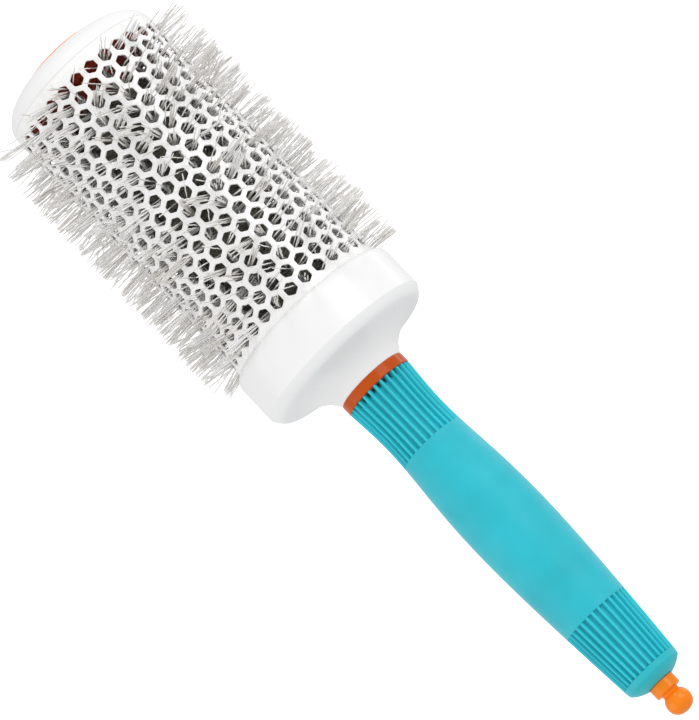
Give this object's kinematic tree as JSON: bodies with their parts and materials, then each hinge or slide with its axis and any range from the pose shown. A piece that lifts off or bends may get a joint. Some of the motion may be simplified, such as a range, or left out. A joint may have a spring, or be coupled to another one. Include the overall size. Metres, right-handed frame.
{
  "type": "round vented thermal hair brush",
  "caption": "Round thermal styling brush: vented ceramic-coated barrel with bristle spindles, white flange, ribbed soft-grip handle and a pull-out sectioning pick.",
  "frame": {"origin": "centre of the flat front end face, on which the brush stands", "axes": "+Z along the brush axis from the front end to the handle end; +X and +Y across the barrel"},
  "size_m": [0.076, 0.0762, 0.2736],
  "materials": {
    "ceramic_coat": "gloss white ceramic coating",
    "white_plastic": "gloss",
    "orange_plastic": "gloss",
    "teal_soft": "soft-touch matt",
    "teal_hard": "satin",
    "bristle_nylon": "satin",
    "guide_nylon": "matt",
    "core_dark": "matt",
    "zinc_steel": "zinc plated",
    "brass": "turned",
    "o_ring_rubber": "matt"
  },
  "bodies": {
    "brush": {"barrel_tube": "ceramic_coat", "end_disc": "orange_plastic", "front_cap": "white_plastic", "front_plug": "orange_plastic", "front_washer": "zinc_steel", "front_screw": "zinc_steel", "tie_rod": "zinc_steel", "core_tube": "core_dark", "rear_plate": "white_plastic", "rear_flange": "white_plastic", "accent_band": "orange_plastic", "handle_core": "teal_hard", "grip_sleeve": "teal_soft", "thread_insert": "brass", "handle_end_cap": "teal_hard", "pick_guide_tube": "guide_nylon", "pick_o_ring": "o_ring_rubber", "spindle_wire_01": "zinc_steel", "spindle_wire_02": "zinc_steel", "spindle_wire_03": "zinc_steel", "spindle_wire_04": "zinc_steel", "spindle_wire_05": "zinc_steel", "spindle_wire_06": "zinc_steel", "spindle_wire_07": "zinc_steel", "spindle_wire_08": "zinc_steel", "spindle_wire_09": "zinc_steel", "spindle_wire_10": "zinc_steel", "bristle_row_01": "bristle_nylon", "bristle_row_02": "bristle_nylon", "bristle_row_03": "bristle_nylon", "bristle_row_04": "bristle_nylon", "bristle_row_05": "bristle_nylon", "bristle_row_06": "bristle_nylon", "bristle_row_07": "bristle_nylon", "bristle_row_08": "bristle_nylon", "bristle_row_09": "bristle_nylon", "bristle_row_10": "bristle_nylon"},
    "pick": {"pick_shaft": "zinc_steel", "pick_knob": "orange_plastic"}
  },
  "joints": [
    {"name": "pick_slide", "type": "slide", "parent": "brush", "child": "pick", "axis": [0, 0, 1], "range_m": [0, 0.074]}
  ]
}
